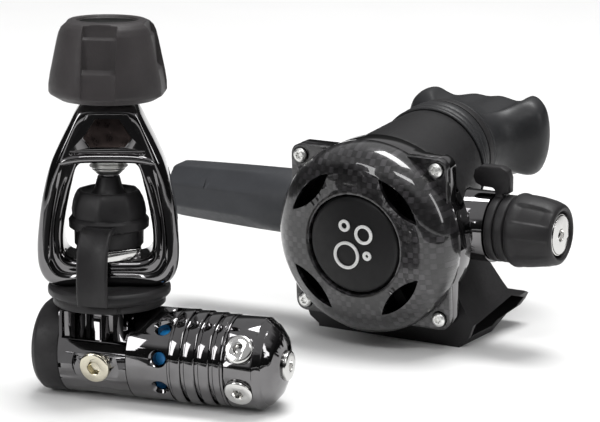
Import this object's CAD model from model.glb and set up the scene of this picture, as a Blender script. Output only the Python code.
"""Scuba regulator set: the look of the first stage and the second stage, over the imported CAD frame."""
import bmesh
import bpy
from math import asin, atan2, ceil, cos, pi, radians, sin, sqrt, tan
from mathutils import Matrix, Vector


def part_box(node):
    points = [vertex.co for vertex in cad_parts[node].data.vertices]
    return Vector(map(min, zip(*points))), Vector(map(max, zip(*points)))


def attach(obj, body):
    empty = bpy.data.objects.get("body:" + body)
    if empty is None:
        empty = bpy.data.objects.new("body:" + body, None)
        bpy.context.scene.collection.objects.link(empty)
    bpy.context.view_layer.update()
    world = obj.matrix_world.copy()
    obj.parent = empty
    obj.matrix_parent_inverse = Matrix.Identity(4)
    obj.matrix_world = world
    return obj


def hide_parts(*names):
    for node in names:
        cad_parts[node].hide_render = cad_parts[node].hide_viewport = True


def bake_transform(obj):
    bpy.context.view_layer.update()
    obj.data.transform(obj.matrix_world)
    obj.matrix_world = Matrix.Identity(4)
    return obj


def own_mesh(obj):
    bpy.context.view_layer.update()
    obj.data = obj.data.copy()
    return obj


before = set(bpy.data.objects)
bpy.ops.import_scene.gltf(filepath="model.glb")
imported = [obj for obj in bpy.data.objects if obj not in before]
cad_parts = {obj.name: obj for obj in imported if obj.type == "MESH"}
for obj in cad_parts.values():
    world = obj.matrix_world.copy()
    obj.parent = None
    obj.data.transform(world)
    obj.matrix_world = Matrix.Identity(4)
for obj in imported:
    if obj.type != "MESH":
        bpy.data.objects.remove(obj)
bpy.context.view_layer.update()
scene = bpy.context.scene

# ---- local frames, in millimetres ----------------------------------------------------------
# YOKE: origin on the floor under the yoke, z up.
# SECOND: x along the valve, y from the cover to the mouth, z up.  VALVE: the same, on the valve's axis.

low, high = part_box("knob_badge")
AXIS = Vector(((low.x + high.x) / 2, (low.y + high.y) / 2, 0))
MM = Matrix.Scale(0.001, 4)
YOKE = Matrix.Translation(AXIS) @ MM
TURN, TILT = radians(32.5), radians(4.9)
X2 = Vector((cos(TURN), -sin(TURN), 0))
Z2 = Vector((-sin(TURN) * sin(TILT), -cos(TURN) * sin(TILT), cos(TILT)))
Y2 = Z2.cross(X2)
TURNED = Matrix((X2, Y2, Z2)).transposed().to_4x4()
COVER_CENTRE, VALVE_CENTRE = Vector((0.107, 0.0724, 0.0476)), Vector((0, 26, 2.2))
SECOND = Matrix.Translation(AXIS + COVER_CENTRE) @ TURNED @ MM
VALVE = SECOND @ Matrix.Translation(VALVE_CENTRE)

# ---- camera --------------------------------------------------------------------------------

LENS, SENSOR = 146.06, 36
EYE_AT = Vector((0.04058, -0.92718, 0.26798))
PAN, DIP, ROLL = 2.08, 11.85, 0.49  # degrees

eye = bpy.data.cameras.new("camera")
eye.lens, eye.sensor_width = LENS, SENSOR
eye.clip_start, eye.clip_end = 0.05, 30
camera = bpy.data.objects.new("camera", eye)
camera.matrix_world = (
    Matrix.Translation(AXIS + EYE_AT)
    @ Matrix.Rotation(-radians(PAN), 4, "Z")
    @ Matrix.Rotation(radians(90 - DIP), 4, "X")
    @ Matrix.Rotation(radians(ROLL), 4, "Z")
)
scene.collection.objects.link(camera)
scene.camera = camera
scene.view_settings.view_transform = "Standard"

# ---- materials -----------------------------------------------------------------------------


class Look:
    """A procedural material: object coordinates, noise and bump on one Principled shader."""

    def __init__(self, name, space=None, **values):
        self.mat = bpy.data.materials.new(name)
        self.mat.use_nodes = True
        self.tree = self.mat.node_tree
        self.shader = self.tree.nodes["Principled BSDF"]
        for key, value in values.items():
            self.shader.inputs[key.replace("_", " ")].default_value = value
        coords = self.add("ShaderNodeTexCoord").outputs["Object"]
        if space is None:
            self.at = coords
        else:
            place = self.add("ShaderNodeMapping")
            inverse = space.inverted()
            place.inputs["Location"].default_value = inverse.to_translation()
            place.inputs["Rotation"].default_value = inverse.to_euler()
            place.inputs["Scale"].default_value = inverse.to_scale()
            self.link(coords, place.inputs["Vector"])
            self.at = place.outputs["Vector"]
        self.normal = None

    def add(self, kind, **settings):
        node = self.tree.nodes.new(kind)
        for key, value in settings.items():
            setattr(node, key, value)
        return node

    def link(self, source, target):
        self.tree.links.new(source, target)

    def noise(self, scale, detail=3.0, roughness=0.5, stretch=None):
        node = self.add("ShaderNodeTexNoise")
        node.inputs["Scale"].default_value = scale
        node.inputs["Detail"].default_value = detail
        node.inputs["Roughness"].default_value = roughness
        source = self.at
        if stretch:
            shape = self.add("ShaderNodeMapping")
            shape.inputs["Scale"].default_value = stretch
            self.link(self.at, shape.inputs["Vector"])
            source = shape.outputs["Vector"]
        self.link(source, node.inputs["Vector"])
        return node.outputs["Fac"]

    def voronoi(self, scale):
        node = self.add("ShaderNodeTexVoronoi")
        node.inputs["Scale"].default_value = scale
        self.link(self.at, node.inputs["Vector"])
        return node.outputs["Distance"]

    def math(self, operation, a, b=0.0, c=0.0):
        node = self.add("ShaderNodeMath", operation=operation)
        for socket, value in zip(node.inputs, (a, b, c)):
            if isinstance(value, (int, float)):
                socket.default_value = value
            else:
                self.link(value, socket)
        return node.outputs[0]

    def ramp(self, fac, stops):
        node = self.add("ShaderNodeValToRGB")
        points = node.color_ramp.elements
        while len(points) < len(stops):
            points.new(0.5)
        for point, (place, colour) in zip(points, stops):
            point.position = place
            point.color = colour if len(colour) == 4 else (*colour, 1)
        self.link(fac, node.inputs["Fac"])
        return node.outputs["Color"]

    def range(self, fac, low, high, start=0.3, end=0.7):
        node = self.add("ShaderNodeMapRange")
        for key, value in (("From Min", start), ("From Max", end), ("To Min", low), ("To Max", high)):
            node.inputs[key].default_value = value
        self.link(fac, node.inputs["Value"])
        return node.outputs["Result"]

    def colour(self, fac, *stops):
        self.link(self.ramp(fac, stops), self.shader.inputs["Base Color"])

    def rough(self, fac, low, high):
        self.link(self.range(fac, low, high), self.shader.inputs["Roughness"])

    def bump(self, height, distance, strength=1.0):
        node = self.add("ShaderNodeBump")
        node.inputs["Distance"].default_value = distance
        node.inputs["Strength"].default_value = strength
        self.link(height, node.inputs["Height"])
        if self.normal is not None:
            self.link(self.normal, node.inputs["Normal"])
        self.normal = node.outputs["Normal"]
        self.link(self.normal, self.shader.inputs["Normal"])


def metal(name, light, dark, rough_low, rough_high, ripple=0.000004, space=None, stretch=None):
    """Plated or turned metal: slow tint drift, handling smears in the gloss, a trace of ripple."""
    look = Look(name, space, Metallic=1.0, Specular_IOR_Level=0.5)
    look.colour(look.noise(60, 4), (0.3, dark), (0.7, light))
    look.rough(look.noise(240, 5, 0.65), rough_low, rough_high)
    look.bump(look.noise(130, 2), ripple * 4)
    if stretch:
        look.bump(look.noise(1500, 2, stretch=stretch), ripple)
    return look.mat


def rubber(name, light, dark, rough_low=0.5, rough_high=0.62, grain=1700, depth=0.00004, sheen=0.04):
    """Moulded rubber or plastic: fine grain, dusty drift in the colour, soft sheen."""
    look = Look(name, Sheen_Weight=sheen, Sheen_Roughness=0.45, IOR=1.45, Specular_IOR_Level=0.4)
    look.colour(look.noise(45, 5, 0.6), (0.3, dark), (0.72, light))
    look.rough(look.noise(380, 4), rough_low, rough_high)
    look.bump(look.noise(grain, 3, 0.6), depth)
    look.bump(look.voronoi(grain * 1.4), depth * 0.35)
    return look.mat


def carbon():
    """Twill of dark fibre tows under clear lacquer, laid square to the cover."""
    look = Look("carbon_twill", SECOND, Coat_Weight=1.0, Coat_Roughness=0.03, Coat_IOR=1.55, IOR=1.45)
    parts = look.add("ShaderNodeSeparateXYZ")
    look.link(look.at, parts.inputs["Vector"])
    tow = 2.3
    across = look.math("DIVIDE", parts.outputs["X"], tow)
    along = look.math("DIVIDE", parts.outputs["Z"], tow)
    column, row = look.math("FLOOR", across), look.math("FLOOR", along)
    step = look.math("FLOORED_MODULO", look.math("ADD", column, row), 2.0)
    warp = look.math("LESS_THAN", step, 0.5)
    in_x = look.math("FRACT", across)
    in_z = look.math("FRACT", along)
    crown_x = look.math("SINE", look.math("MULTIPLY", in_x, pi))
    crown_z = look.math("SINE", look.math("MULTIPLY", in_z, pi))
    mix = look.add("ShaderNodeMix", data_type="FLOAT")
    look.link(warp, mix.inputs["Factor"])
    look.link(crown_z, mix.inputs["A"])
    look.link(crown_x, mix.inputs["B"])
    crown = mix.outputs["Result"]
    cell = look.add("ShaderNodeCombineXYZ")
    look.link(column, cell.inputs["X"])
    look.link(row, cell.inputs["Y"])
    spread = look.add("ShaderNodeTexWhiteNoise")
    look.link(cell.outputs["Vector"], spread.inputs["Vector"])
    drift = look.noise(0.09, 2)
    fibres = look.noise(1.0, 3, stretch=(9.0, 1.0, 9.0))
    tone = look.math("MULTIPLY_ADD", warp, 0.3, look.math("MULTIPLY", spread.outputs["Value"], 0.42))
    tone = look.math("ADD", tone, look.math("MULTIPLY", crown, 0.14))
    tone = look.math("ADD", tone, look.math("MULTIPLY", fibres, 0.22))
    tone = look.math("MULTIPLY", tone, look.range(drift, 0.75, 1.15))
    look.colour(tone, (0.1, (0.002, 0.002, 0.0022)), (0.5, (0.012, 0.0112, 0.0122)),
                (0.9, (0.055, 0.052, 0.056)))
    look.rough(fibres, 0.26, 0.42)
    look.shader.inputs["Metallic"].default_value = 0.35
    look.bump(crown, 0.00003)
    return look.mat


def printed_white():
    look = Look("printed_white", IOR=1.5)
    look.colour(look.noise(900, 3), (0.3, (0.8, 0.8, 0.79)), (0.7, (0.88, 0.88, 0.87)))
    look.rough(look.noise(300, 3), 0.28, 0.4)
    look.bump(look.noise(1400, 2), 0.00001)
    return look.mat


def blue_liner():
    look = Look("blue_liner", IOR=1.5)
    look.colour(look.noise(250, 4), (0.3, (0.012, 0.21, 0.6)), (0.7, (0.02, 0.33, 0.8)))
    look.rough(look.noise(400, 3), 0.3, 0.45)
    look.bump(look.noise(1500, 2), 0.00001)
    return look.mat


def floor_look():
    look = Look("pale_floor", IOR=1.4)
    look.colour(look.noise(1.3, 3), (0.3, (0.86, 0.86, 0.855)), (0.7, (0.89, 0.89, 0.885)))
    look.rough(look.noise(14, 4), 0.75, 0.9)
    look.bump(look.noise(260, 3), 0.00003)
    return look.mat


BLACK_CHROME = metal("black_chrome", (0.2, 0.197, 0.2), (0.15, 0.146, 0.149), 0.03, 0.08)
CAST_FIELD = metal("cast_field", (0.1, 0.078, 0.073), (0.035, 0.026, 0.025), 0.22, 0.45, 0.00003)
SCREW = metal("satin_screw", (0.9, 0.9, 0.88), (0.78, 0.78, 0.76), 0.3, 0.42)
CHROME = metal("bright_chrome", (0.68, 0.675, 0.66), (0.57, 0.565, 0.55), 0.07, 0.16)
WARM_CHROME = metal("warm_chrome", (0.7, 0.66, 0.54), (0.58, 0.54, 0.43), 0.12, 0.24)
BRASS = metal("machined_brass", (0.72, 0.55, 0.28), (0.58, 0.42, 0.2), 0.22, 0.36, stretch=(6, 1, 1))
STEEL = metal("drawn_steel", (0.66, 0.66, 0.66), (0.5, 0.5, 0.5), 0.2, 0.34, stretch=(1, 1, 5))
RUBBER = rubber("black_rubber", (0.0135, 0.0125, 0.0135), (0.008, 0.0074, 0.0082), 0.42, 0.56)
KNOB_RUBBER = rubber("knob_rubber", (0.034, 0.0295, 0.0305), (0.022, 0.0192, 0.02), 0.46, 0.6, sheen=0.08)
SOFT_RUBBER = rubber("soft_silicone", (0.016, 0.0165, 0.018), (0.0095, 0.0098, 0.011),
                     0.36, 0.5, 1300, 0.00002)
SLEEVE_RUBBER = rubber("hose_rubber", (0.034, 0.036, 0.041), (0.021, 0.0225, 0.026),
                       0.44, 0.58, 1500, 0.00003)
MATT_BLACK = rubber("matt_black", (0.0062, 0.0058, 0.0066), (0.0036, 0.0034, 0.0039),
                    0.42, 0.55, 2100, 0.000016)
SEAT = rubber("seat_plastic", (0.76, 0.75, 0.68), (0.66, 0.65, 0.58), 0.35, 0.45, 1500, 0.000008, 0.0)
CARBON = carbon()
WHITE = printed_white()
BLUE = blue_liner()

# ---- mesh helpers --------------------------------------------------------------------------

X, Y, Z = Vector((1, 0, 0)), Vector((0, 1, 0)), Vector((0, 0, 1))
UPRIGHT = Matrix.Rotation(-pi / 2, 4, "Y")  # takes x to z
FACING = Matrix.Rotation(pi / 2, 4, "Z")  # takes x to y
CIRCLE = [2 * pi * k / 48 for k in range(48)]


def tube_mesh(rings, ends=(True, True), looped=False):
    """Faces between rings of points; each ring is closed. The ends are capped or joined."""
    bm = bmesh.new()
    rows = [[bm.verts.new(point) for point in ring] for ring in rings]
    pairs = list(zip(rows, rows[1:])) + ([(rows[-1], rows[0])] if looped else [])
    for first, second in pairs:
        for i, corner in enumerate(first):
            j = (i + 1) % len(first)
            bm.faces.new((corner, first[j], second[j], second[i]))
    if not looped:
        for row, wanted in ((rows[0], ends[0]), (rows[-1], ends[1])):
            if wanted:
                bm.faces.new(row)
    bmesh.ops.recalc_face_normals(bm, faces=bm.faces)
    return bm


def turned(points, steps=128, shape=None, pose=None):
    """A closed (along, radius) outline turned about x, then posed.

    shape(angle, along, radius) may change the radius.
    """
    shape = shape or (lambda angle, along, radius: radius)
    rings = []
    for step in range(steps):
        angle = 2 * pi * step / steps
        ring = []
        for along, radius in points:
            r = shape(angle, along, radius)
            ring.append(Vector((along, r * cos(angle), r * sin(angle))))
        rings.append(ring)
    bm = tube_mesh(rings, looped=True)
    if pose is not None:
        bmesh.ops.transform(bm, matrix=pose, verts=bm.verts)
    return bm


def finer(profile, longest, count_of):
    """The profile with its first count_of stretches cut into steps no longer than longest."""
    made = []
    for (x0, r0), (x1, r1) in zip(profile[:count_of], profile[1:count_of + 1]):
        count = max(1, ceil(abs(x1 - x0) / longest))
        made += [(x0 + (x1 - x0) * k / count, r0 + (r1 - r0) * k / count) for k in range(count)]
    return made + profile[count_of:]


def prism(outline, plane, start, end):
    """An outline of (a, b) points pulled from start to end along the third axis of plane (a, b, out)."""
    a, b, out = plane
    rings = [[a * u + b * v + out * at for u, v in outline] for at in (start, end)]
    return tube_mesh(rings)


def smooth_line(points, steps=6, closed=False):
    """Catmull-Rom through points of any dimension."""
    points = [Vector(p) for p in points]
    count = len(points)
    made = []
    for i in range(count if closed else count - 1):
        if closed:
            p0, p1, p2, p3 = (points[(i + k) % count] for k in (-1, 0, 1, 2))
        else:
            p1, p2 = points[i], points[i + 1]
            p0 = points[i - 1] if i else p1 * 2 - p2
            p3 = points[i + 2] if i + 2 < count else p2 * 2 - p1
        for step in range(steps):
            t = step / steps
            made.append(0.5 * ((2 * p1) + (p2 - p0) * t + (2 * p0 - 5 * p1 + 4 * p2 - p3) * t**2
                               + (3 * p1 - p0 - 3 * p2 + p3) * t**3))
    if not closed:
        made.append(points[-1])
    return made


def rounded(outline, radius, steps=4):
    """A closed 2-D outline with every corner rounded; radius is one number or one for each corner."""
    points = [Vector(p) for p in outline]
    radii = radius if isinstance(radius, (list, tuple)) else [radius] * len(points)
    made = []
    for i, corner in enumerate(points):
        to_a = points[i - 1] - corner
        to_b = points[(i + 1) % len(points)] - corner
        half = to_a.angle(to_b) / 2
        cut = min(radii[i] / max(tan(half), 0.05), to_a.length * 0.48, to_b.length * 0.48)
        if cut < 1e-4:
            made.append(corner)
            continue
        start, end = corner + to_a.normalized() * cut, corner + to_b.normalized() * cut
        for step in range(steps + 1):
            t = step / steps
            made.append(start * (1 - t) ** 2 + corner * 2 * t * (1 - t) + end * t**2)
    return made


def object_from(bm, name):
    mesh = bpy.data.meshes.new(name)
    bm.to_mesh(mesh)
    bm.free()
    made = bpy.data.objects.new(name, mesh)
    scene.collection.objects.link(made)
    return made


def settle(piece, sharp):
    """Applies the piece's modifiers and sets smooth shading, sharp above an angle."""
    graph = bpy.context.evaluated_depsgraph_get()
    mesh = bpy.data.meshes.new_from_object(piece.evaluated_get(graph))
    piece.modifiers.clear()
    piece.data = mesh
    mesh.shade_smooth()
    mesh.set_sharp_from_angle(angle=radians(sharp))


def cut(piece, *cutters):
    """Takes each cutter's mesh away from the piece."""
    for bm in cutters:
        tool = object_from(bm, "cutter")
        step = piece.modifiers.new("cut", "BOOLEAN")
        step.operation, step.object, step.solver = "DIFFERENCE", tool, "EXACT"
        graph = bpy.context.evaluated_depsgraph_get()
        mesh = bpy.data.meshes.new_from_object(piece.evaluated_get(graph))
        piece.modifiers.clear()
        piece.data = mesh
        bpy.data.objects.remove(tool)


def add(bm, name, place, material, body, nodes=(), subdivide=0, cutters=(), bevel=0.0, angle=32,
        sharp=38, segments=2):
    """Finishes a mesh built in local millimetres as a piece; with no body, the caller blends it."""
    piece = object_from(bm, name)
    if subdivide:
        step = piece.modifiers.new("round", "SUBSURF")
        step.levels = step.render_levels = subdivide
        settle(piece, 180)
    cut(piece, *cutters)
    if bevel:
        step = piece.modifiers.new("edge", "BEVEL")
        step.width, step.segments, step.limit_method = bevel, segments, "ANGLE"
        step.angle_limit, step.use_clamp_overlap = radians(angle), True
        step.miter_outer = "MITER_ARC"
    settle(piece, sharp)
    piece.data.transform(place)
    piece.data.materials.clear()
    piece.data.materials.append(material)
    if body:
        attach(piece, body)
    if nodes:
        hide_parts(*nodes)
    return piece


def refined(node, material, body, bevel=0.25, angle=28, sharp=34, segments=2):
    """The CAD node's own shape with its sharp edges rounded off."""
    bm = bmesh.new()
    bm.from_mesh(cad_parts[node].data)
    bmesh.ops.transform(bm, matrix=Matrix.Scale(1000, 4), verts=bm.verts)
    bmesh.ops.remove_doubles(bm, verts=bm.verts, dist=0.002)
    bmesh.ops.dissolve_degenerate(bm, edges=bm.edges, dist=0.001)
    bmesh.ops.dissolve_limit(bm, angle_limit=radians(0.6), verts=bm.verts, edges=bm.edges)
    return add(bm, node + "_look", MM, material, body, (node,), bevel=bevel, angle=angle, sharp=sharp,
               segments=segments)


def paint(material, *names):
    for name in names:
        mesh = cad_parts[name].data
        mesh.materials.clear()
        mesh.materials.append(material)


# ---- first stage: yoke ---------------------------------------------------------------------

# Right half of the loop: outer and inner outline points that face each other, (x, z).
LOOP = [
    ((0, 117), (0, 94.6)), ((4.5, 117), (4.6, 94.6)), ((8.6, 116.6), (9.0, 94.2)),
    ((11.8, 114.1), (11.6, 92.6)), ((15.2, 107.6), (12.9, 89.4)), ((19.2, 99.5), (13.7, 86)),
    ((22.3, 92), (14.6, 82.4)), ((25, 81), (15.9, 76)), ((26.6, 70), (16.9, 70)), ((27.4, 60), (17.3, 64)),
    ((26.7, 52.4), (16.8, 59.5)), ((23.8, 47.2), (15.0, 57.1)),
    ((18.6, 45.1), (12.0, 56.1)), ((9.5, 45), (7.6, 56)), ((0, 45), (0, 56)),
]
HALF_DEPTH, GROOVE = 11.4, 0.95
SCREW_BORE, INLET_BORE = 7.5, 8.0


def yoke_section(outer, inner):
    """Contour across the loop: rounded corners and a shallow groove on both faces."""
    across = outer - inner
    width = across.length
    leg = max(0.0, min(1.0, (15.5 - width) / 3.5))
    groove = GROOVE * leg
    outer_r, inner_r = min(4.6, width * 0.42), min(2.9, width * 0.3)
    face = []
    for step in range(6):
        turn = pi / 2 * step / 5
        face.append((inner_r * (1 - cos(turn)), HALF_DEPTH - inner_r * (1 - sin(turn))))
    left, right = inner_r, width - outer_r
    middle = (left + right) / 2
    span = (right - left) * 0.5
    for share, drop in ((-0.82, 0.0), (-0.5, 0.75), (-0.2, 1.0), (0.2, 1.0), (0.5, 0.75), (0.82, 0.0)):
        face.append((middle + share * span, HALF_DEPTH - groove * drop))
    for step in range(7):
        turn = pi / 2 * step / 6
        face.append((width - outer_r * (1 - sin(turn)), HALF_DEPTH - outer_r * (1 - cos(turn))))
    contour = [(s, -d) for s, d in face] + [(s, d) for s, d in reversed(face)]
    unit = across.normalized()
    return [Vector((inner.x + unit.x * s, y, inner.y + unit.y * s)) for s, y in contour]


half = smooth_line([(*o, *i) for o, i in LOOP], 5)
loop = half + [Vector((-p[0], p[1], -p[2], p[3])) for p in reversed(half[1:-1])]
rings = [yoke_section(Vector(p[:2]), Vector(p[2:])) for p in loop]
plaque = rounded([(-7.8, 112.8), (7.8, 112.8), (14.8, 98.2), (-14.8, 98.2)], 0.8)
field = rounded([(-4.8, 111.4), (4.8, 111.4), (9.8, 103.6), (7.0, 99.8), (-7.0, 99.8), (-9.8, 103.6)], 0.5)
yoke_cuts = [
    turned([(84, 0), (84, SCREW_BORE), (120, SCREW_BORE), (120, 0)], 64, pose=UPRIGHT),
    turned([(40, 0), (40, INLET_BORE), (60, INLET_BORE), (60, 0)], 64, pose=UPRIGHT),
]
for side in (-1, 1):
    yoke_cuts.append(prism(plaque, (X, Z, Y * side), 10.5, 14))
    yoke_cuts.append(prism(field, (X, Z, Y * side), 9.7, 14))
add(tube_mesh(rings, looped=True), "yoke_body", YOKE, BLACK_CHROME, "first_stage", ("yoke",),
    cutters=yoke_cuts, bevel=0.3, angle=40, sharp=42)

# Brow over the window: a slim bar across each face, thinning into the legs, with an inlay above it.
BROW_HALF, BROW_Z, BROW_DROP = 18.6, 96.2, 2.2
for side, label in ((-1, "front"), (1, "back")):
    rings = []
    for step in range(33):
        x = -BROW_HALF + 2 * BROW_HALF * step / 32
        swell = max(0.1, (1 - (abs(x) / 18.8) ** 6)) ** 0.5
        z = BROW_Z - BROW_DROP * (abs(x) / BROW_HALF) ** 4
        rings.append([Vector((x, side * (10.9 + 2.1 * swell * cos(a)), z + 2.0 * swell * sin(a)))
                      for a in (2 * pi * k / 14 for k in range(14))])
    add(tube_mesh(rings), "yoke_brow_" + label, YOKE, BLACK_CHROME, "first_stage",
        subdivide=1)

    inlay = [Vector((x * 0.95, 105.5 + (z - 105.5) * 0.95)) for x, z in field]
    add(prism(inlay, (X, Z, Y * side), 9.0, 10.15), "yoke_field_" + label, YOKE, CAST_FIELD, "first_stage",
        bevel=0.3, angle=40)

# ---- first stage: knob ---------------------------------------------------------------------

KNOB = [(117.6, 18.5), (119.9, 22.4), (120.9, 22.95), (124, 22.9), (128, 22.3), (134, 21.1), (140, 19.9),
        (143.6, 19.05), (145.8, 18.1), (147.3, 16.6), (148.2, 14.6), (148.4, 12.9), (147.9, 12.1),
        (146.6, 11.7)]
POCKET = [(117.6, 40), (119.4, 40), (119.6, 21.5), (122, 21.5), (126, 20.9), (129.4, 20.1), (131.0, 18.2),
          (136, 17.8), (142.2, 17.1), (143.2, 15.9), (145.4, 15.4), (149, 15.0)]
POCKET_EDGES = (129.4, 131.0, 142.2, 143.2)
HALF_POCKET = 6.7
KNOB_TURN = -8  # degrees


def pocket_limit(z):
    """How far the pocket's floor stands from the knob's axis at height z."""
    for (z0, d0), (z1, d1) in zip(POCKET, POCKET[1:]):
        if z0 <= z <= z1:
            return d0 + (d1 - d0) * (z - z0) / (z1 - z0)
    return 40


def knob_levels():
    """(height, radius) of the knob's rings: up the outside, then down into the recess on top."""
    levels = [KNOB[-1]]
    for (z0, r0), (z1, r1) in zip(KNOB, KNOB[1:]):
        levels += [(z0 + (z1 - z0) * step / 3, r0 + (r1 - r0) * step / 3) for step in range(3)]
        levels += [(z, r0 + (r1 - r0) * (z - z0) / (z1 - z0)) for z in POCKET_EDGES if z0 < z < z1]
    levels = sorted(set(levels))
    top = [p for p in levels if p[0] > 146.5 and p[1] < 12.5]
    return [p for p in levels if p not in top] + sorted(top, reverse=True)


def knob_ring(z, radius):
    """One ring of the knob: four pockets with flat floors, and an arc between each two."""
    ring = []
    edge = min(HALF_POCKET, radius * 0.98)
    for quarter in range(4):
        middle = radians(KNOB_TURN - 90 + 90 * quarter)
        out = Vector((cos(middle), sin(middle), 0))
        tangent = Vector((-sin(middle), cos(middle), 0))
        for share in (-1.0, -0.965, -0.6, -0.2, 0.2, 0.6, 0.965, 1.0):
            x = share * edge
            rim = sqrt(max(radius * radius - x * x, 0.01))
            distance = rim if abs(share) == 1.0 else min(rim, pocket_limit(z))
            ring.append(out * distance + tangent * x + Z * z)
        first = middle + asin(min(edge / radius, 0.999))
        last = middle + pi / 2 - asin(min(edge / radius, 0.999))
        for step in range(1, 8):
            angle = first + (last - first) * step / 8
            ring.append(Vector((radius * cos(angle), radius * sin(angle), z)))
    return ring


knob_rings = [knob_ring(z, radius) for z, radius in knob_levels()]
screw_hole = tube_mesh([[Vector((6.4 * cos(a), 6.4 * sin(a), z)) for a in CIRCLE] for z in (110, 131.5)])
add(tube_mesh(knob_rings), "knob_grip", YOKE, KNOB_RUBBER, "knob", ("yoke_knob",), bevel=0.35,
    angle=34, sharp=40, cutters=[screw_hole])

# ---- first stage: dust cap and strap -------------------------------------------------------

CAP = [(60.4, 0), (60.4, 13.0), (60.9, 13.4), (66.4, 13.5), (66.9, 14.6), (67.6, 15.5), (70.4, 15.6),
       (71.2, 15.0), (71.8, 14.7), (74, 14.9), (77, 14.4), (79.4, 13.6), (81.2, 12.6), (82.0, 11.7),
       (81.9, 11.0), (80.4, 9.9), (79.5, 8.8), (79.6, 7.6), (80.8, 6.5), (83, 5.4), (86, 4.6),
       (87.2, 4.25), (87.55, 3.7), (87.55, 0)]


def eight_sided(angle, along, radius):
    """Faceted over the cap's upper body, round elsewhere."""
    if 71.5 < along < 82.1 and radius > 10.5:
        turn = (angle + radians(12)) % (pi / 4) - pi / 8
        return radius * (0.25 + 0.75 * min(1.0, cos(pi / 8) / cos(turn) + 0.012))
    return radius


bore = turned([(55, 0), (55, 9.9), (65.9, 9.9), (65.9, 0)], 48, pose=UPRIGHT)
add(turned(CAP, 96, eight_sided, UPRIGHT), "dust_cap_rubber", YOKE, RUBBER, "dust_cap", ("dust_cap",),
    cutters=[bore], bevel=0.3, angle=38, sharp=44)

STRAP = smooth_line([(15.4, 69.1), (18.2, 69.0), (21.6, 67.4), (24.4, 63.8), (26.0, 59), (26.7, 53),
                     (26.6, 46.5), (25.4, 41.2)], 5)
STRAP_FACE = [(-6, -0.5), (-5.6, -0.9), (-4.9, -0.9), (-4.5, -0.55), (0, -0.5), (4.5, -0.55), (4.9, -0.9),
              (5.6, -0.9), (6, -0.5), (6, 0.6), (5.6, 0.9), (0, 0.9), (-5.6, 0.9), (-6, 0.6)]
STRAP_TURN = radians(-12)
out = Vector((sin(STRAP_TURN), -cos(STRAP_TURN), 0))
tangent = Vector((cos(STRAP_TURN), sin(STRAP_TURN), 0))
rings = []
for i, point in enumerate(STRAP):
    ahead = (STRAP[min(i + 1, len(STRAP) - 1)] - STRAP[max(i - 1, 0)]).normalized()
    inward = Vector((ahead.y, -ahead.x))
    wide = 1.0 + 0.12 * max(0.0, 1 - i / 9)
    rings.append([out * (point.x + inward.x * t) + Z * (point.y + inward.y * t) + tangent * (w * wide)
                  for w, t in STRAP_FACE])
strap = add(tube_mesh(rings), "cap_strap_rubber", YOKE, RUBBER, None, ("dust_cap_strap",),
            bevel=0.15, angle=50, sharp=50)
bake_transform(strap)

# ---- second stage: cover -------------------------------------------------------------------

COVER = [(2.0, 38.7), (2.0, 41.0), (1.6, 41.3), (-1.0, 41.35), (-4.4, 41.1), (-7.2, 40.3), (-9.8, 38.7),
         (-11.9, 36.5), (-13.3, 34.2), (-13.9, 32.9), (-14.1, 32.4), (-14.55, 30), (-15.0, 26.4),
         (-15.35, 23.2), (-15.4, 22.3), (-15.1, 21.75), (-14.3, 21.45), (-12.95, 21.45), (-12.85, 26),
         (-12.0, 31), (-10.4, 34), (-7.6, 37), (-3.6, 38.6)]

# Four lens-shaped slots: each is two arcs of radius REACH that would meet SLOT_TIP from its middle.
SLOT_AT, REACH, SLOT_TIP, SLOT_END = 29.2, 24.0, 12.4, 12.1
offset = sqrt(REACH**2 - SLOT_TIP**2)
arc = [asin(SLOT_END / REACH) * (k / 8 - 1) for k in range(17)]
lens = [(SLOT_AT - offset + REACH * cos(t), REACH * sin(t)) for t in arc]
lens += [(SLOT_AT + offset - REACH * cos(t), -REACH * sin(t)) for t in arc]
slots = []
for step in range(4):
    middle = radians(45 + 90 * step)
    a = Vector((cos(middle), 0, sin(middle)))
    b = Vector((-sin(middle), 0, cos(middle)))
    slots.append(prism(lens, (a, b, -Y), 4, 20))
add(turned(COVER, 160, pose=FACING), "cover_shell", SECOND, CARBON, "second_stage", ("front_cover",),
    cutters=slots, bevel=0.3, angle=40, sharp=44, segments=3)

# Four corner ears, from inside the round rim out to the square's rounded corners.
EAR_HALF, EAR_INNER, SCREW_AT = 37.0, 40.0, 32.25
edge = sqrt(EAR_INNER**2 - EAR_HALF**2)
first, last = asin(edge / EAR_INNER), pi / 2 - asin(edge / EAR_INNER)
bend = rounded([(EAR_HALF, 0), (EAR_HALF, EAR_HALF), (0, EAR_HALF)], (0, 5.4, 0), 8)[1:-1]
inside = [last + (first - last) * k / 10 for k in range(1, 10)]
corner = [(EAR_HALF, edge), *[tuple(p) for p in bend], (edge, EAR_HALF)]
corner += [(EAR_INNER * cos(a), EAR_INNER * sin(a)) for a in inside]
for x, z in ((-1, -1), (-1, 1), (1, -1), (1, 1)):
    ear = prism([(x * u, z * v) for u, v in corner], (X, Z, Y), -1.4, 2.0)
    ring = [(x * SCREW_AT + 3.4 * cos(a), z * SCREW_AT + 3.4 * sin(a)) for a in CIRCLE]
    recess = prism(ring, (X, Z, Y), -6, -0.9)
    label = ("lower" if z < 0 else "upper") + ("_left" if x < 0 else "_right")
    add(ear, "cover_ear_" + label, SECOND, CARBON, "second_stage", cutters=[recess],
        bevel=0.45, angle=40, sharp=44, segments=3)

# ---- second stage: mouthpiece --------------------------------------------------------------

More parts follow.
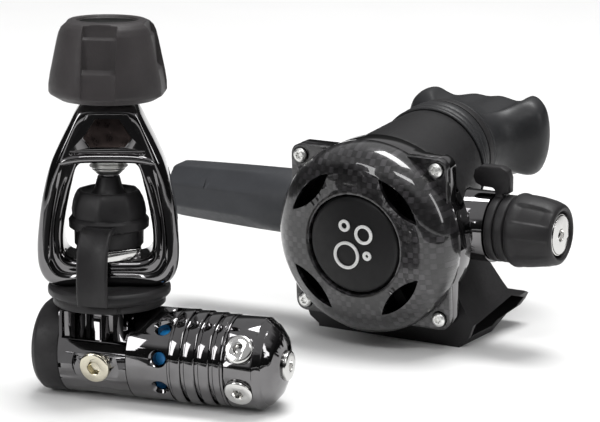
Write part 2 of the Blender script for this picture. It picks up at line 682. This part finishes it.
# The lip shield's outline, right half from the top middle round to the bottom middle, (x, z).
WING = [(0, 14.6), (7.0, 15.4), (15.6, 14.0), (20.6, 15.6), (24.6, 17.8), (29, 16.9), (33, 13.2),
        (34.8, 7.5), (35.2, 1), (34.2, -6), (32, -12), (29, -16.4), (25.5, -18.2), (20, -18), (11, -21),
        (0, -22)]
WING_X, WING_Z, WING_BEND = 35.2, 19.5, 8.0
CONE_START, CONE_LENGTH, CONE_WIDE, CONE_TAPER, CONE_RISE = 12, 52, 38, 16.5, 20
SHIELD = smooth_line(WING + [(-x, z) for x, z in reversed(WING[1:-1])], 3, closed=True)


def mouth_ring(y, half_width, half_height, blend, rise):
    """One ring of the mouthpiece: an ellipse at blend 0, the lip shield's outline at blend 1."""
    ring = []
    for point in SHIELD:
        turn = atan2(point.y / WING_Z, point.x / WING_X)
        round_x, round_z = half_width * cos(turn), half_height * sin(turn)
        wing_x, wing_z = point.x * half_width / WING_X, point.y * half_height / WING_Z
        bent = y - WING_BEND * blend * (wing_x / WING_X) ** 2
        ring.append(Vector((round_x + (wing_x - round_x) * blend, bent,
                            rise + round_z + (wing_z - round_z) * blend)))
    return ring


def neck_ring(y, proud):
    """A round ring that stands proud of the case's slanting cone."""
    share = (y - CONE_START) / CONE_LENGTH
    radius = CONE_WIDE - CONE_TAPER * share + proud
    return y, radius, radius, 0, CONE_RISE * share


# Each row: y, half width, half height, blend, rise.
MOUTH = [neck_ring(54.5, 1.5), neck_ring(54.8, 2.15), neck_ring(56.6, 2.3), neck_ring(57.2, 1.7)]
MOUTH += [neck_ring(57.8, 1.7)]
MOUTH += [neck_ring(58.4, 2.3), neck_ring(60.2, 2.3), neck_ring(60.8, 1.7), neck_ring(61.4, 1.7)]
MOUTH += [neck_ring(62.0, 2.3), neck_ring(64.2, 2.35)]
MOUTH += [
    (65.4, 23.6, 23.6, 0, 20), (66.5, 23.1, 23.1, 0, 20), (66.9, 22.1, 22.1, 0, 20),
    (71.1, 22.1, 22.1, 0, 20), (71.4, 22.9, 22.9, 0, 20), (72.8, 23.1, 23.1, 0, 20),
    (74.0, 22.4, 22.4, 0, 20), (75.6, 21.0, 20.7, 0, 20), (80, 20.9, 18.6, 0.05, 20.3),
    (86, 22.4, 16.8, 0.15, 20.8), (92, 26, 16.4, 0.3, 21), (98, 30.4, 17.4, 0.6, 21),
    (103, 33.2, 18.8, 0.9, 21), (107, 34.3, 19.4, 1, 21), (110.5, 34.5, 19.5, 1, 21),
    (112.8, 34.2, 19.2, 1, 21), (113.8, 33.0, 18.2, 1, 21), (113.0, 31.6, 16.8, 1, 21),
    (109.5, 29.5, 14.6, 0.9, 21), (105.5, 25.5, 11.4, 0.5, 21), (104.5, 21.5, 9.6, 0.2, 21),
    (106.5, 19.8, 8.6, 0, 21), (109.5, 19.0, 8.2, 0, 21), (110.2, 17.6, 7.4, 0, 21),
    (109.4, 16.4, 6.6, 0, 21), (100, 15.6, 6.6, 0, 21), (90, 15.6, 8.5, 0, 20.8),
    (80, 17.2, 15.5, 0, 20.3), (74, 18.6, 18.4, 0, 20), (73.3, 20.05, 20.05, 0, 20),
    (64.2, 20.05, 20.05, 0, 20),
    (64.15, 21.6, 21.6, 0, 20.05), neck_ring(63.6, 0.12), neck_ring(54.6, 0.12),
]
rings = [mouth_ring(*row) for row in MOUTH]
add(tube_mesh(rings, looped=True), "mouthpiece_rubber", SECOND, SOFT_RUBBER, "second_stage", ("mouthpiece",),
    subdivide=1, sharp=60)
# Each row: how far out, half width, half thickness.
BITE_TAB = [(0, 4.0, 1.6), (2.5, 4.4, 1.7), (6.5, 4.6, 1.5), (9.2, 4.6, 1.6), (10.0, 4.7, 2.6),
            (11.2, 4.6, 2.7), (11.9, 3.9, 1.9)]
for side, label in ((-1, "left"), (1, "right")):
    rings = [[Vector((side * (20.0 + 0.012 * y * y) + w * cos(a), 107.0 + y, 21 + t * sin(a)))
              for a in CIRCLE[::2]] for y, w, t in BITE_TAB]
    add(tube_mesh(rings), "bite_tab_" + label, SECOND, SOFT_RUBBER, "second_stage",
        subdivide=1)

# ---- second stage: hose protector, adjusting knob ------------------------------------------

SLEEVE = [(-113, 11.0), (-112.7, 11.7), (-111.7, 12.4), (-109, 12.65), (-100, 13.05), (-90, 13.45),
          (-80, 13.8), (-74, 14.0), (-66, 14.2), (-56, 14.35), (-50, 14.2), (-46.8, 13.7), (-45.5, 13.0),
          (-45.5, 8.7), (-59, 8.7), (-59.2, 5.9), (-79.9, 5.9), (-80.1, 6.3), (-113, 6.3)]


def sleeve_shape(angle, along, radius):
    """Eight flats at the hose's end, which fade into a round bulge near the nut."""
    if radius < 8.9 or along > -60:
        return radius
    turn = (angle + pi / 8) % (pi / 4) - pi / 8
    flat = min(1.0, cos(pi / 8) / cos(turn) + 0.012)
    fade = max(0.0, min(1.0, (-60 - along) / 14))
    return radius * (1 + (flat - 1) * fade)


NOTCH_TURN = radians(35)
notch = rounded([(-92.5, -3.4), (-90.6, -3.4), (-90.6, 3.4), (-92.5, 3.4)], 0.6)
notches = []
for side in (-1, 1):
    out = Vector((0, -cos(NOTCH_TURN), sin(NOTCH_TURN))) * side
    notches.append(prism(notch, (X, Vector((0, sin(NOTCH_TURN), cos(NOTCH_TURN))), out), 12.4, 16))
add(turned(finer(SLEEVE, 2.5, 12), 128, sleeve_shape), "hose_sleeve", VALVE, SLEEVE_RUBBER, "hose_end",
    ("hose_protector",), cutters=notches, bevel=0.25, angle=40, sharp=50)

GRIP = [(55.7, 0), (55.7, 14.3), (56.1, 15.1), (57.2, 15.6), (59, 15.75), (61, 15.75), (64, 15.55),
        (67, 15.15), (70, 14.6), (72.5, 13.9), (74.4, 13.15), (75.5, 12.4), (76.0, 11.4), (76.0, 10.5),
        (75.6, 10.0), (72.85, 9.9), (72.85, 0)]


def grip_shape(angle, along, radius):
    """Six shallow scoops with crisp sides."""
    if radius < 11.5 or not 57.5 < along < 75.2:
        return radius
    turn = abs((angle + radians(15)) % (pi / 3) - pi / 6)
    side = max(0.0, min(1.0, (0.30 - turn) / 0.05))
    ends = max(0.0, min(1.0, (along - 58.5) / 2.5)) * max(0.0, min(1.0, (75.2 - along) / 4.0))
    return radius - 1.05 * side * ends


add(turned(finer(GRIP, 1.0, 12), 180, grip_shape), "adjusting_grip", VALVE, RUBBER, "adjuster",
    ("adjust_knob",), sharp=50)

# ---- the CAD nodes' own looks --------------------------------------------------------------

for node, material, body, slot, bevel in (
    ("inlet_body", BLACK_CHROME, "first_stage", "black_chrome", 0.25),
    ("ambient_body", BLACK_CHROME, "first_stage", "black_chrome", 0.2),
    ("end_plate", BLACK_CHROME, "first_stage", "black_chrome", 0.2),
    ("turret", BLACK_CHROME, "turret", "black_chrome", 0.3),
    ("turret_retainer", BLACK_CHROME, "first_stage", "black_chrome", 0.3),
    ("end_guard", RUBBER, "first_stage", "rubber", 0.5),
    ("base_collar", RUBBER, "first_stage", "rubber", 0.3),
    ("strap_ring", RUBBER, "first_stage", "rubber", 0.4),
    ("lp_port_plugs", CHROME, "turret", "chrome", 0.2),
    ("lp_plug_axial", CHROME, "first_stage", "chrome", 0.2),
    ("gauge_port_plugs", WARM_CHROME, "first_stage", "chrome", 0.25),
    ("case", BLACK_CHROME, "second_stage", "black_chrome", 0.4),
    ("purge_button", MATT_BLACK, "purge", "matte_black", 0.4),
    ("purge_emblem", WHITE, "purge", "white", 0.12),
    ("cover_screws", SCREW, "second_stage", "chrome", 0.12),
    ("dive_lever", RUBBER, "dive_lever", "matte_black", 0.6),
    ("knob_collar", RUBBER, "second_stage", "rubber", 0.3),
    ("exhaust_tee", RUBBER, "second_stage", "rubber", 0.8),
    ("tube_sleeve", MATT_BLACK, "second_stage", "matte_black", 0.3),
    ("mouthpiece_clamp", RUBBER, "second_stage", "matte_black", 0.3),
    ("yoke_retainer", CHROME, "first_stage", "chrome", 0.2),
    ("knob_end_cap", CHROME, "adjuster", "chrome", 0.2),
    ("knob_badge", CHROME, "knob", "black_chrome", 0.2),
):
    refined(node, material, body, bevel)

# The two springs that the purge button and the adjusting knob shorten.
for node, joint, travel, along, start, end, frame_at in (
    ("purge_spring", "purge_press", 4.0, Y, -12.1, -2.7, SECOND),
    ("poppet_spring", "spring_pad_feed", 3.1, X, 20.95, -0.15, VALVE),
):
    coil = refined(node, STEEL, "second_stage", bevel=0)
    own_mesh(coil)

paint(BLACK_CHROME, "end_plug")
paint(SCREW, "yoke_screw")
paint(CHROME, "piston", "orifice", "inlet_nut")
paint(STEEL, "thrust_pad", "main_spring", "filter_clip", "diaphragm_disc", "demand_lever")
paint(BRASS, "valve_barrel", "spring_pad", "adjust_screw", "hose_tail", "inlet_filter")
paint(MATT_BLACK, "purge_guide", "clamp_ring", "poppet")
paint(SOFT_RUBBER, "diaphragm", "exhaust_valve")
paint(RUBBER, "inlet_oring", "piston_oring")
paint(SEAT, "main_seat")
paint(BLUE, "thermal_sleeve")

# ---- floor and light -----------------------------------------------------------------------

bm = bmesh.new()
bmesh.ops.create_grid(bm, x_segments=12, y_segments=12, size=6)
ground = object_from(bm, "floor")
ground.data.materials.append(floor_look())

world = bpy.data.worlds.new("studio")
scene.world = world
world.use_nodes = True
tree = world.node_tree
sky = tree.nodes.new("ShaderNodeTexCoord")
parts = tree.nodes.new("ShaderNodeSeparateXYZ")
ramp = tree.nodes.new("ShaderNodeValToRGB")
tree.links.new(sky.outputs["Generated"], parts.inputs["Vector"])
tree.links.new(parts.outputs["Z"], ramp.inputs["Fac"])
# Dark below and at the horizon, bright above.
stops = ((0.0, 0.02), (0.2, 0.03), (0.42, 0.07), (0.55, 0.5), (1.0, 0.55))
elements = ramp.color_ramp.elements
while len(elements) < len(stops):
    elements.new(0.5)
for element, (place, level) in zip(elements, stops):
    element.position, element.color = place, (level, level, level * 1.01, 1)
tree.links.new(ramp.outputs["Color"], tree.nodes["Background"].inputs["Color"])
tree.nodes["Background"].inputs["Strength"].default_value = 1.0


def softbox(name, place, aim, size, power):
    light = bpy.data.lights.new(name, "AREA")
    light.shape, light.size, light.size_y, light.energy = "RECTANGLE", *size, power
    made = bpy.data.objects.new(name, light)
    made.location = place
    made.rotation_euler = (Vector(aim) - Vector(place)).to_track_quat("-Z", "Y").to_euler()
    scene.collection.objects.link(made)


softbox("key", AXIS + Vector((-1.25, -0.85, 0.75)), AXIS + Vector((0.05, 0, 0.06)), (0.5, 0.9), 9)
softbox("top", AXIS + Vector((0.5, 0.4, 3.0)), AXIS, (1.7, 1.0), 74)
softbox("front", AXIS + Vector((0.1, -1.2, 1.6)), AXIS + Vector((0.05, 0, 0.05)), (0.9, 0.25), 6.5)
softbox("fill", AXIS + Vector((1.5, -0.7, 0.8)), AXIS + Vector((0.05, 0, 0.06)), (0.25, 0.9), 4)

# A dark card on the floor before the object, seen only in reflections.
card = [(-1.2, -0.75), (1.2, -0.75), (1.2, -0.17), (-1.2, -0.17)]
flag = object_from(prism(card, (X, Y, Z), 0.001, 0.002), "flag")
flag.location = AXIS
flag.data.materials.append(MATT_BLACK)
flag.visible_camera = flag.visible_diffuse = flag.visible_shadow = False
